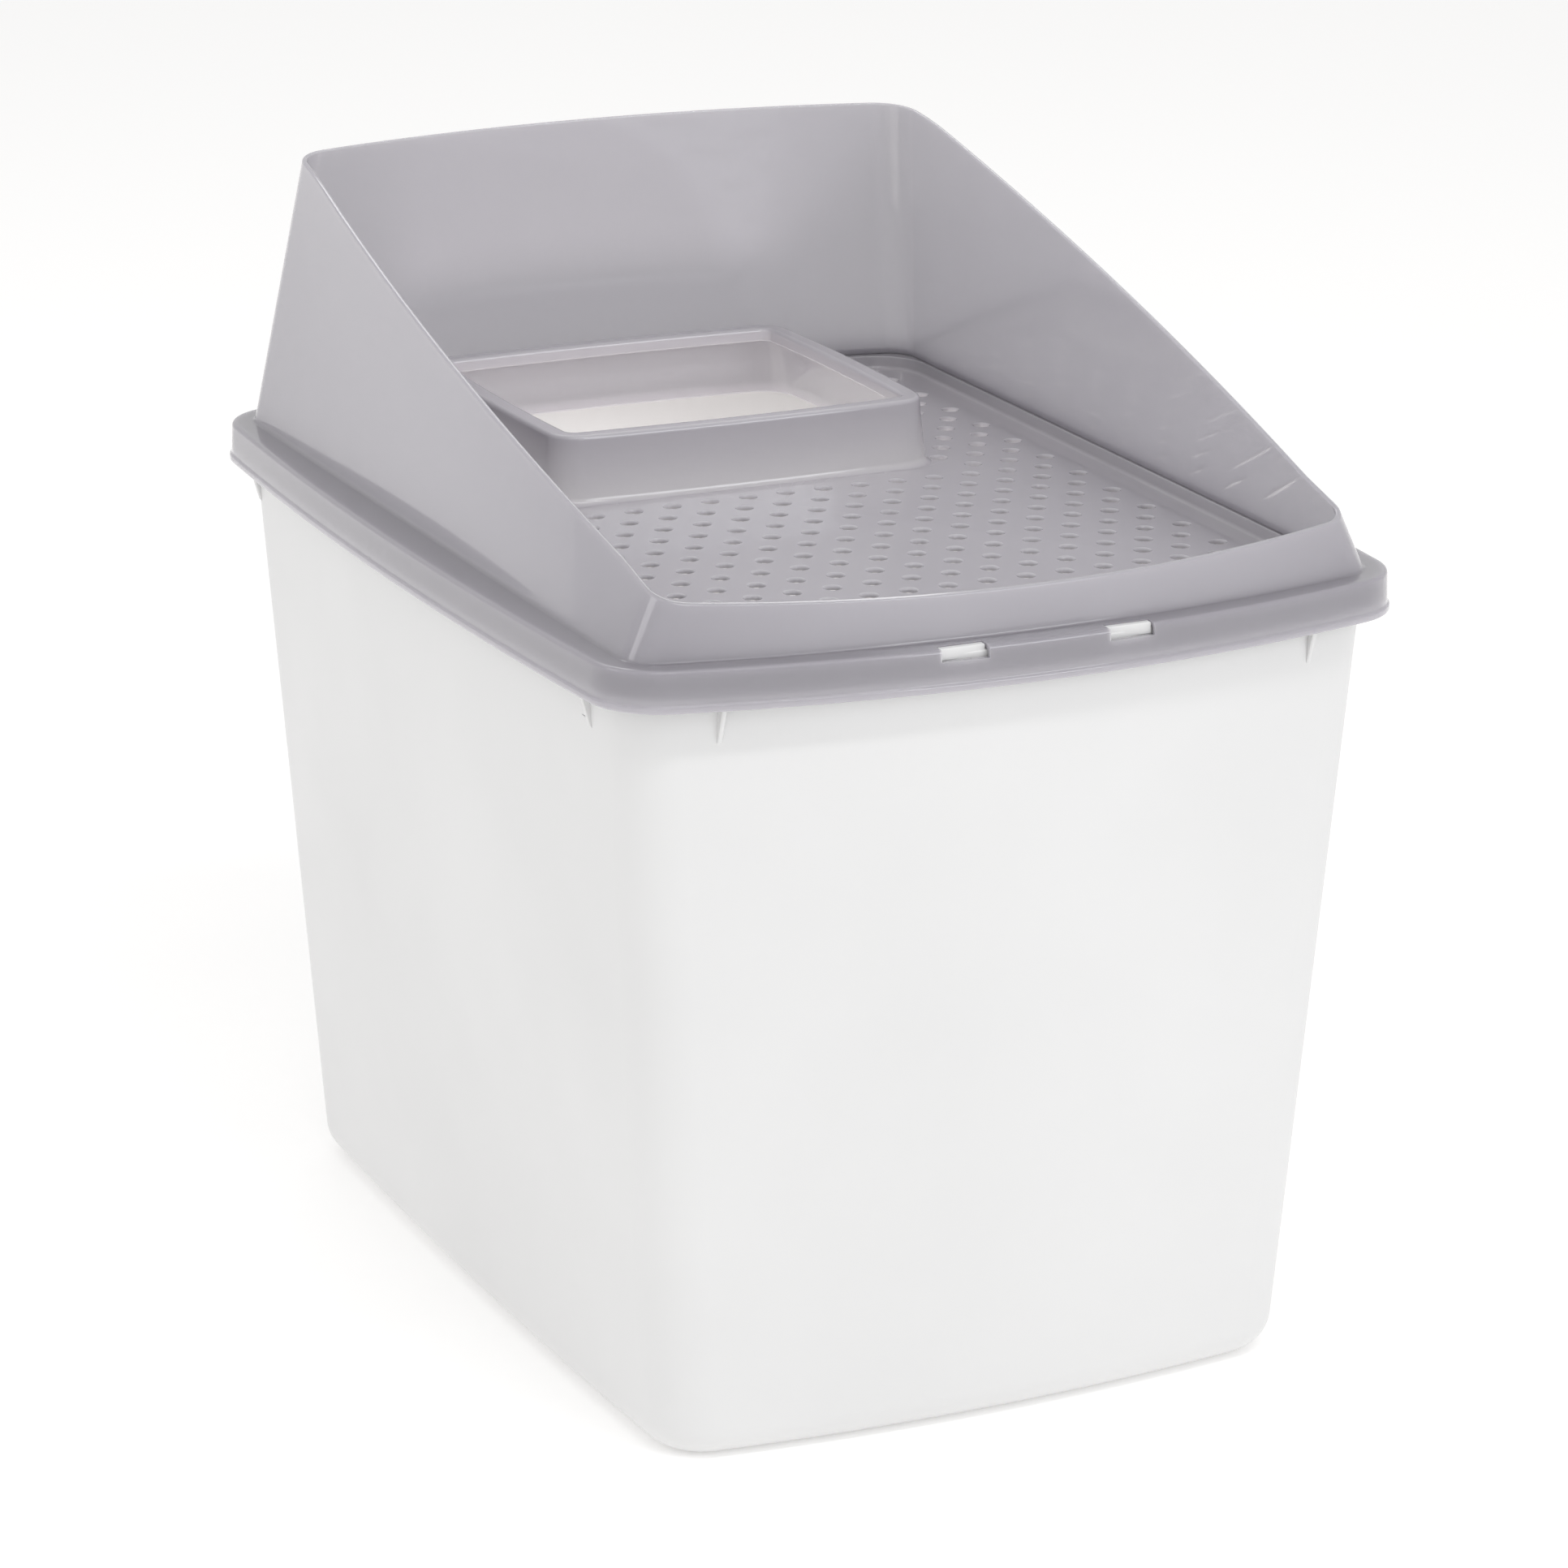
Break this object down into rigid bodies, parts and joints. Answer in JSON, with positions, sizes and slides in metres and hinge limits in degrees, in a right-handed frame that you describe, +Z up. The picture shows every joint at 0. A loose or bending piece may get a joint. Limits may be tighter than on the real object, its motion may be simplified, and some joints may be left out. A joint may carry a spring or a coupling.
{
  "type": "cat litter box with hood",
  "caption": "Deep tapered litter tub with a lift-out perforated deck, a raised top-entry collar and a lift-off sloped surround hood.",
  "frame": {"origin": "on the floor, under the centre of the box", "axes": "+Z up, +Y towards the tall back wall, +X the right side seen from the low front lip"},
  "size_m": [0.4, 0.534, 0.5092],
  "materials": {
    "white_pp": "moulded polypropylene, satin",
    "grey_pp_deck": "moulded polypropylene, glossy, slightly see-through",
    "grey_pp_hood": "moulded polypropylene, semi-gloss, slightly see-through"
  },
  "bodies": {
    "tub": {"tub": "white_pp"},
    "deck": {"perforated_deck": "grey_pp_deck"},
    "hood": {"hood": "grey_pp_hood"}
  },
  "joints": [
    {"name": "deck_lift", "type": "slide", "parent": "tub", "child": "deck", "axis": [0, 0, 1], "range_m": [0, 0.06]},
    {"name": "hood_lift", "type": "slide", "parent": "deck", "child": "hood", "axis": [0, 0, 1], "range_m": [0, 0.08]}
  ]
}
